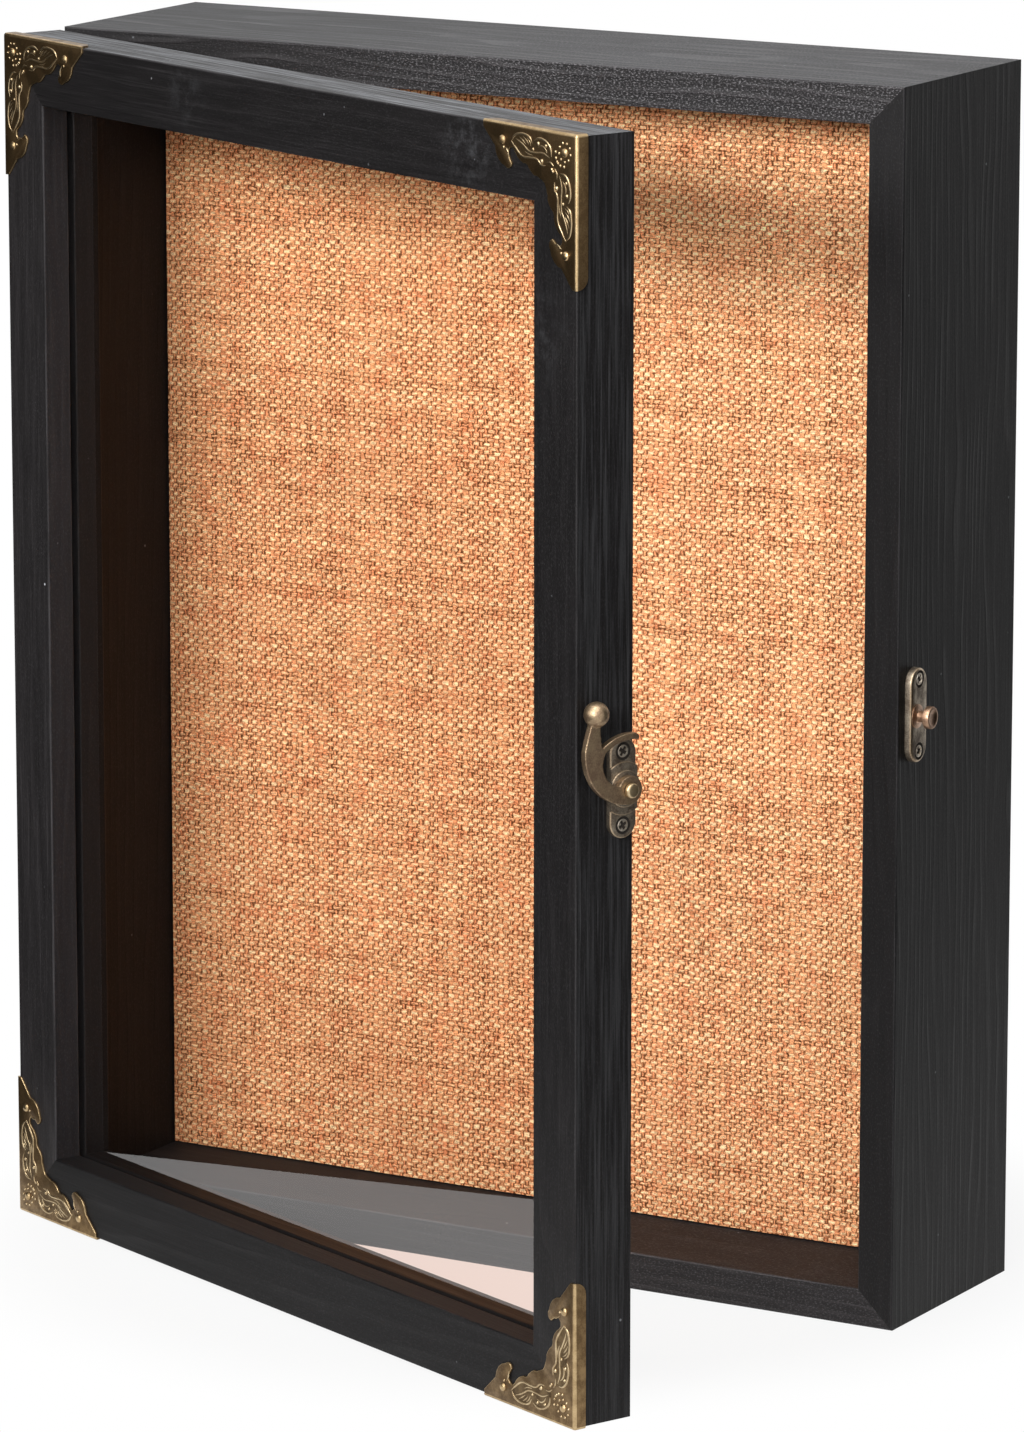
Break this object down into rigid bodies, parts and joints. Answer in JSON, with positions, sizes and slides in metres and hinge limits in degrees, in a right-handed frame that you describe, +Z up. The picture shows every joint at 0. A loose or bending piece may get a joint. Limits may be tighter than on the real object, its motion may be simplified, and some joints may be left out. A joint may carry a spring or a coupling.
{
  "type": "butterfly display case",
  "caption": "Shallow stained-wood display case with a burlap-faced pin board, a hinged glazed door with brass corner protectors, and a swing hook latch.",
  "frame": {"origin": "centre of the underside of the case's bottom board, which the case stands on", "axes": "+X across the width to the right, towards the latch; +Y from the front to the back, out of the rear edge that goes to a wall; +Z up"},
  "size_m": [0.293, 0.2033, 0.356],
  "materials": {
    "stained_pine": "satin",
    "back_board": "matte",
    "bare_pine": "matte",
    "pin_foam": "matte",
    "burlap": "matte",
    "clear_glass": "polished",
    "zinc_steel": "satin",
    "antique_brass": "satin"
  },
  "bodies": {
    "case": {"back_panel": "back_board", "back_panel_screws": "zinc_steel", "batten_bottom": "bare_pine", "batten_left": "bare_pine", "batten_right": "bare_pine", "batten_top": "bare_pine", "burlap_lining": "burlap", "case_bottom_board": "stained_pine", "case_left_board": "stained_pine", "case_right_board": "stained_pine", "case_top_board": "stained_pine", "catch_plate": "antique_brass", "catch_screws": "antique_brass", "catch_stud": "antique_brass", "hanger_left": "zinc_steel", "hanger_right": "zinc_steel", "hanger_rivets": "zinc_steel", "hinge_case_screws": "antique_brass", "hinge_lower_case_leaf": "antique_brass", "hinge_lower_pin": "antique_brass", "hinge_upper_case_leaf": "antique_brass", "hinge_upper_pin": "antique_brass", "pin_board": "pin_foam"},
    "door": {"corner_bottom_left": "antique_brass", "corner_bottom_right": "antique_brass", "corner_pins": "antique_brass", "corner_top_left": "antique_brass", "corner_top_right": "antique_brass", "door_bottom_rail": "stained_pine", "door_glass": "clear_glass", "door_left_stile": "stained_pine", "door_right_stile": "stained_pine", "door_top_rail": "stained_pine", "glass_bead_bottom": "stained_pine", "glass_bead_left": "stained_pine", "glass_bead_right": "stained_pine", "glass_bead_top": "stained_pine", "hinge_door_screws": "antique_brass", "hinge_lower_door_leaf": "antique_brass", "hinge_upper_door_leaf": "antique_brass", "latch_plate": "antique_brass", "latch_rivet": "antique_brass", "latch_screws": "antique_brass"},
    "hook": {"latch_hook": "antique_brass"}
  },
  "joints": [
    {"name": "door_hinge", "type": "hinge", "parent": "case", "child": "door", "pos_m": [-0.1405, -0.03625, 0.178], "axis": [0, 0, -1], "range_deg": [-23.3, 156.7]},
    {"name": "latch_pivot", "type": "hinge", "parent": "door", "child": "hook", "pos_m": [0.11387, -0.15097, 0.178], "axis": [-0.9184, 0.3955, 0], "range_deg": [-30, 118]}
  ]
}
